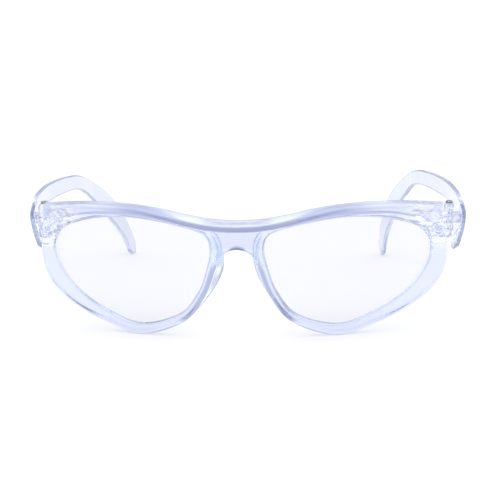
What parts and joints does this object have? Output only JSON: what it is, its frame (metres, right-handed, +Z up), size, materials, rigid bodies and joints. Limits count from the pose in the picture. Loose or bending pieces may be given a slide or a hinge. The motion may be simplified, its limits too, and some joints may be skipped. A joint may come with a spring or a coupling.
{
  "type": "safety glasses",
  "caption": "Clear moulded safety glasses with a brow ridge, inset lenses, flared nose and side edges, and temples that fold on screw hinges.",
  "frame": {"origin": "on the table under the middle of the whole open pair, within 1 mm of the plane halfway between the lenses", "axes": "+X towards the wearer's left, across the front; +Y from the front back towards the ear tips; +Z up"},
  "size_m": [0.1596, 0.1585, 0.0457],
  "materials": {
    "clear_frame": "clear polycarbonate with a faint lavender tint, polished",
    "clear_temple": "clear polycarbonate with a faint lavender tint, polished",
    "clear_lens": "water-clear polycarbonate, optically polished",
    "hinge_steel": "turned, lightly brushed"
  },
  "bodies": {
    "front": {"front_frame": "clear_frame", "lens_right": "clear_lens", "lens_left": "clear_lens", "hinge_screw_right": "hinge_steel", "hinge_screw_left": "hinge_steel", "hinge_nut_right": "hinge_steel", "hinge_nut_left": "hinge_steel"},
    "right_temple": {"temple_right": "clear_temple"},
    "left_temple": {"temple_left": "clear_temple"}
  },
  "joints": [
    {"name": "right_temple_fold", "type": "hinge", "parent": "front", "child": "right_temple", "pos_m": [-0.073, -0.0409, 0.03605], "axis": [0, 0, -1], "range_deg": [-2, 91]},
    {"name": "left_temple_fold", "type": "hinge", "parent": "front", "child": "left_temple", "pos_m": [0.073, -0.0409, 0.03605], "axis": [0, 0, 1], "range_deg": [-8, 74]}
  ]
}
